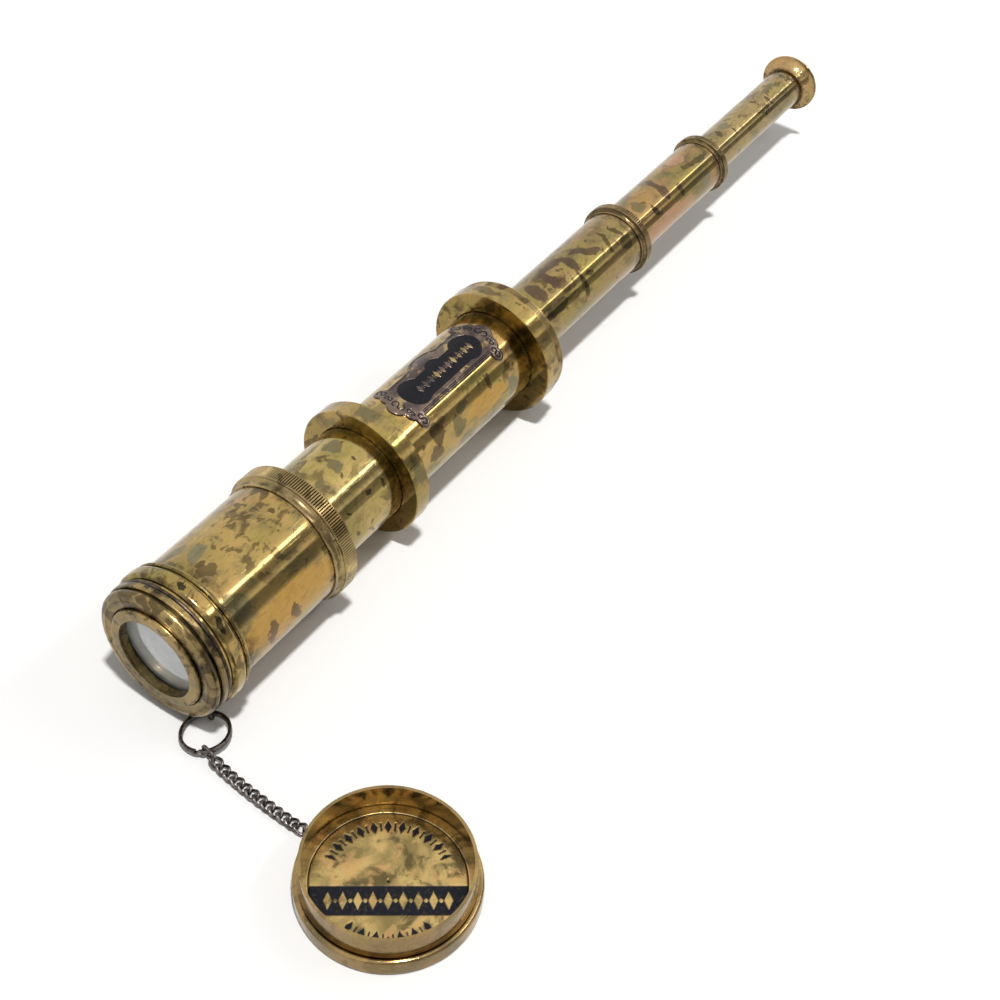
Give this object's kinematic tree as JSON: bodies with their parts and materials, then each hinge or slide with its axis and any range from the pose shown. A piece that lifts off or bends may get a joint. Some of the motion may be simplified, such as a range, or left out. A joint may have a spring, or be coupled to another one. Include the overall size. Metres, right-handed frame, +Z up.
{
  "type": "spyglass",
  "caption": "Brass hand telescope drawn out in sliding sections, with knurled gland rings, a flared eyecup and a lens cap on a chain.",
  "frame": {"origin": "centre of the bezel's flat front edge, where the clear aperture begins, on the optical axis", "axes": "+X along the optical axis from the objective to the eyepiece; +Z up from the table that the collars rest on; the cap and chain lie towards -Y"},
  "size_m": [0.5021, 0.1656, 0.056],
  "materials": {
    "antique_brass": "satin antique brass, brown in the recesses",
    "polished_brass": "polished brass with a mottled patina",
    "knurled_brass": "polished brass, finely knurled",
    "plate_bronze": "bronze-violet patina, sunk panel blackened",
    "gunmetal": "dark brown-black gunmetal",
    "blackened_brass": "blackened against stray light",
    "etched_brass": "etched brass disc with dark filled grooves",
    "optical_glass": "clear polished glass"
  },
  "bodies": {
    "barrel": {"neck_tube": "polished_brass", "neck_guide_bush": "antique_brass", "front_collar": "polished_brass", "main_barrel": "polished_brass", "nameplate": "plate_bronze", "rear_collar": "polished_brass", "draw1_gland_ring": "knurled_brass"},
    "bell": {"objective_bezel": "antique_brass", "objective_crown_lens": "optical_glass", "objective_flint_lens": "optical_glass", "objective_retaining_ring": "blackened_brass", "bell_ferrule": "polished_brass", "bell_tube": "polished_brass", "bell_gland_ring": "knurled_brass", "chain_band": "gunmetal"},
    "draw1": {"draw1_tube": "polished_brass", "draw1_guide_bush": "antique_brass", "draw2_gland_ring": "knurled_brass"},
    "draw2": {"draw2_tube": "polished_brass", "draw2_guide_bush": "antique_brass", "draw3_gland_ring": "knurled_brass"},
    "draw3": {"draw3_tube": "polished_brass", "draw3_guide_bush": "antique_brass", "erector_tube": "blackened_brass", "erector_front_lens": "optical_glass", "erector_rear_lens": "optical_glass", "erector_retaining_rings": "blackened_brass", "erector_stop": "blackened_brass", "eyepiece_tube": "blackened_brass", "field_lens": "optical_glass", "field_stop": "blackened_brass", "eye_lens": "optical_glass", "eye_lens_retaining_ring": "blackened_brass", "eyecup": "antique_brass"},
    "ring": {"split_ring": "gunmetal"},
    "jump": {"jump_link": "gunmetal"},
    "link_01": {"chain_link_01": "gunmetal"},
    "link_02": {"chain_link_02": "gunmetal"},
    "link_03": {"chain_link_03": "gunmetal"},
    "link_04": {"chain_link_04": "gunmetal"},
    "link_05": {"chain_link_05": "gunmetal"},
    "link_06": {"chain_link_06": "gunmetal"},
    "link_07": {"chain_link_07": "gunmetal"},
    "link_08": {"chain_link_08": "gunmetal"},
    "link_09": {"chain_link_09": "gunmetal"},
    "link_10": {"chain_link_10": "gunmetal"},
    "link_11": {"chain_link_11": "gunmetal"},
    "link_12": {"chain_link_12": "gunmetal"},
    "lens_cap": {"lens_cap_shell": "polished_brass", "lens_cap_plate": "etched_brass", "lens_cap_lug": "gunmetal"}
  },
  "joints": [
    {"name": "bell_slide", "type": "slide", "parent": "barrel", "child": "bell", "axis": [1, 0, 0], "range_m": [0, 0.036]},
    {"name": "draw1_slide", "type": "slide", "parent": "barrel", "child": "draw1", "axis": [1, 0, 0], "range_m": [-0.082, 0]},
    {"name": "draw2_slide", "type": "slide", "parent": "draw1", "child": "draw2", "axis": [1, 0, 0], "range_m": [-0.068, 0]},
    {"name": "draw3_slide", "type": "slide", "parent": "draw2", "child": "draw3", "axis": [1, 0, 0], "range_m": [-0.0795, 0]},
    {"name": "ring_hinge", "type": "hinge", "parent": "bell", "child": "ring", "pos_m": [0.00875, -0.01563, -0.02561], "axis": [-0.4961, 0.8593, -0.1242], "range_deg": [-75, 4]},
    {"name": "jump_hinge", "type": "hinge", "parent": "ring", "child": "jump", "pos_m": [-0.00494, -0.02613, -0.02493], "axis": [0.7025, -0.7025, 0.1142], "range_deg": [-15, 25]},
    {"name": "chain_hinge_01", "type": "hinge", "parent": "jump", "child": "link_01", "pos_m": [-0.00563, -0.02939, -0.02503], "axis": [0, 0, 1], "range_deg": [-12, 12]},
    {"name": "chain_hinge_02", "type": "hinge", "parent": "link_01", "child": "link_02", "pos_m": [-0.00613, -0.0328, -0.02622], "axis": [0.9888, -0.1494, 0], "range_deg": [-9, 12]},
    {"name": "chain_hinge_03", "type": "hinge", "parent": "link_02", "child": "link_03", "pos_m": [-0.00664, -0.03638, -0.02658], "axis": [0, 0, 1], "range_deg": [-12, 12]},
    {"name": "chain_hinge_04", "type": "hinge", "parent": "link_03", "child": "link_04", "pos_m": [-0.0071, -0.03996, -0.02658], "axis": [0.9926, -0.1211, 0], "range_deg": [-12, 12]},
    {"name": "chain_hinge_05", "type": "hinge", "parent": "link_04", "child": "link_05", "pos_m": [-0.00751, -0.04353, -0.02658], "axis": [0, 0, 1], "range_deg": [-12, 12]},
    {"name": "chain_hinge_06", "type": "hinge", "parent": "link_05", "child": "link_06", "pos_m": [-0.00787, -0.04711, -0.02658], "axis": [0.9957, -0.0927, 0], "range_deg": [-12, 12]},
    {"name": "chain_hinge_07", "type": "hinge", "parent": "link_06", "child": "link_07", "pos_m": [-0.00818, -0.0507, -0.02658], "axis": [0, 0, 1], "range_deg": [-12, 12]},
    {"name": "chain_hinge_08", "type": "hinge", "parent": "link_07", "child": "link_08", "pos_m": [-0.00844, -0.05429, -0.02658], "axis": [0.9979, -0.0642, 0], "range_deg": [-12, 12]},
    {"name": "chain_hinge_09", "type": "hinge", "parent": "link_08", "child": "link_09", "pos_m": [-0.00864, -0.05789, -0.02658], "axis": [0, 0, 1], "range_deg": [-12, 12]},
    {"name": "chain_hinge_10", "type": "hinge", "parent": "link_09", "child": "link_10", "pos_m": [-0.0088, -0.06148, -0.02658], "axis": [0.9994, -0.0357, 0], "range_deg": [-12, 12]},
    {"name": "chain_hinge_11", "type": "hinge", "parent": "link_10", "child": "link_11", "pos_m": [-0.0089, -0.06508, -0.02658], "axis": [0, 0, 1], "range_deg": [-12, 12]},
    {"name": "chain_hinge_12", "type": "hinge", "parent": "link_11", "child": "link_12", "pos_m": [-0.00895, -0.06869, -0.02649], "axis": [1, -0.0071, 0], "range_deg": [-9, 12]},
    {"name": "cap_hinge", "type": "hinge", "parent": "link_12", "child": "lens_cap", "pos_m": [-0.00895, -0.07358, -0.0258], "axis": [1, 0, 0], "range_deg": [-50, 50]}
  ]
}
